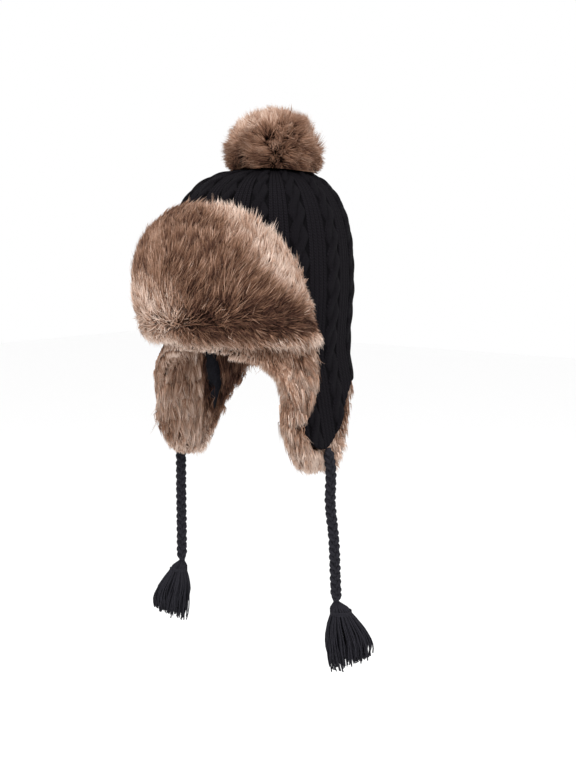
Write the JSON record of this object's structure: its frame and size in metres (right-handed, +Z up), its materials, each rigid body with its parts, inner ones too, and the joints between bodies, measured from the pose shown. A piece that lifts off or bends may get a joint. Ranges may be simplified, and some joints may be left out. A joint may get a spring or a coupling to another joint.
{
  "type": "knit earflap beanie",
  "caption": "Cable-knit winter hat with a turned-up fur front flap, fur-lined earflaps, a fur pompom and braided ties that end in yarn tassels.",
  "frame": {"origin": "the point inside the crown that rests on top of the head, on the middle plane of the hat", "axes": "+Z up, -Y towards the front flap, +X to the wearer's left"},
  "size_m": [0.2696, 0.2697, 0.5806],
  "materials": {
    "yarn": "near-black wool-blend knitting yarn, matt, slightly fuzzy",
    "fur": "brown long-pile faux fur with dark roots and pale beige tips"
  },
  "bodies": {
    "root": {"knit_shell": "yarn", "front_fur_flap": "fur", "ear_fur_left": "fur", "ear_fur_right": "fur", "pompom": "fur", "braid_left": "yarn", "braid_right": "yarn", "tassel_left": "yarn", "tassel_right": "yarn"}
  },
  "joints": []
}
